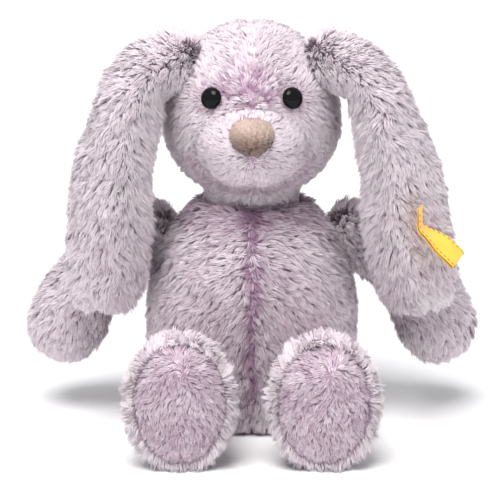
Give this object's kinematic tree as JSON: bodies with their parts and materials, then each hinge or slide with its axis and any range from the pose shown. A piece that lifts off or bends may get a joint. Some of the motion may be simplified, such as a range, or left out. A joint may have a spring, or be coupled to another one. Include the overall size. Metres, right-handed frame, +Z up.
{
  "type": "stuffed bunny rabbit",
  "caption": "Seated stuffed bunny rabbit in lilac pile fabric with long drooping ears, stitched limbs that move, a sewn muzzle, a cloth nose and round glossy eyes.",
  "frame": {"origin": "middle of the bunny's bounding box, on the surface it sits on", "axes": "+Z up, the bunny faces -Y, +X towards its own left hand"},
  "size_m": [0.258, 0.1904, 0.2278],
  "materials": {
    "pile_cloth": "matte",
    "nose_cloth": "matte",
    "stuffing": "matte",
    "pouch_cloth": "matte",
    "pellets": "satin",
    "eye_plastic": "gloss",
    "washer_plastic": "satin",
    "ribbon": "satin",
    "thread": "matte"
  },
  "bodies": {
    "torso": {"torso_front_left": "pile_cloth", "torso_front_right": "pile_cloth", "torso_back_left": "pile_cloth", "torso_back_right": "pile_cloth", "torso_seat": "pile_cloth", "torso_stuffing": "stuffing", "pouch_top": "pouch_cloth", "pouch_bottom": "pouch_cloth", "pouch_pellets": "pellets", "tail_cover": "pile_cloth", "tail_stuffing": "stuffing", "neck_seam": "thread"},
    "head": {"head_left": "pile_cloth", "head_right": "pile_cloth", "head_stuffing": "stuffing", "muzzle_left": "pile_cloth", "muzzle_right": "pile_cloth", "muzzle_stuffing": "stuffing", "nose_cover": "nose_cloth", "nose_padding": "stuffing", "eye_left": "eye_plastic", "eye_right": "eye_plastic", "eye_washer_left": "washer_plastic", "eye_washer_right": "washer_plastic"},
    "ear_left": {"ear_left_outer": "pile_cloth", "ear_left_inner": "pile_cloth", "ear_left_wadding": "stuffing", "ear_seam_left": "thread", "ribbon_loop": "ribbon", "ribbon_stitches": "thread"},
    "arm_left": {"arm_left_front": "pile_cloth", "arm_left_back": "pile_cloth", "arm_left_stuffing": "stuffing", "shoulder_seam_left": "thread"},
    "leg_left": {"leg_left_inner": "pile_cloth", "leg_left_outer": "pile_cloth", "leg_left_sole": "pile_cloth", "leg_left_stuffing": "stuffing", "hip_seam_left": "thread"},
    "ear_right": {"ear_right_outer": "pile_cloth", "ear_right_inner": "pile_cloth", "ear_right_wadding": "stuffing", "ear_seam_right": "thread"},
    "arm_right": {"arm_right_front": "pile_cloth", "arm_right_back": "pile_cloth", "arm_right_stuffing": "stuffing", "shoulder_seam_right": "thread"},
    "leg_right": {"leg_right_inner": "pile_cloth", "leg_right_outer": "pile_cloth", "leg_right_sole": "pile_cloth", "leg_right_stuffing": "stuffing", "hip_seam_right": "thread"}
  },
  "joints": [
    {"name": "neck_nod", "type": "hinge", "parent": "torso", "child": "head", "pos_m": [0, 0.01493, 0.128], "axis": [1, 0, 0], "range_deg": [-15, 0], "stiffness_Nm_per_rad": 0.5},
    {"name": "ear_lift_left", "type": "hinge", "parent": "head", "child": "ear_left", "pos_m": [0.04324, 0.00248, 0.20724], "axis": [0, -1, 0], "range_deg": [0, 70], "stiffness_Nm_per_rad": 0.02},
    {"name": "arm_lift_left", "type": "hinge", "parent": "torso", "child": "arm_left", "pos_m": [0.05962, 0.03093, 0.105], "axis": [0, -1, 0], "range_deg": [-2, 70], "stiffness_Nm_per_rad": 0.04},
    {"name": "leg_swing_left", "type": "hinge", "parent": "torso", "child": "leg_left", "pos_m": [0.038, -0.03624, 0.036], "axis": [1, 0, 0], "range_deg": [-25, 50], "stiffness_Nm_per_rad": 0.06},
    {"name": "ear_lift_right", "type": "hinge", "parent": "head", "child": "ear_right", "pos_m": [-0.04324, 0.00248, 0.20724], "axis": [0, 1, 0], "range_deg": [0, 70], "stiffness_Nm_per_rad": 0.02},
    {"name": "arm_lift_right", "type": "hinge", "parent": "torso", "child": "arm_right", "pos_m": [-0.05962, 0.03093, 0.105], "axis": [0, 1, 0], "range_deg": [-2, 70], "stiffness_Nm_per_rad": 0.04},
    {"name": "leg_swing_right", "type": "hinge", "parent": "torso", "child": "leg_right", "pos_m": [-0.038, -0.03624, 0.036], "axis": [1, 0, 0], "range_deg": [-25, 50], "stiffness_Nm_per_rad": 0.06}
  ]
}
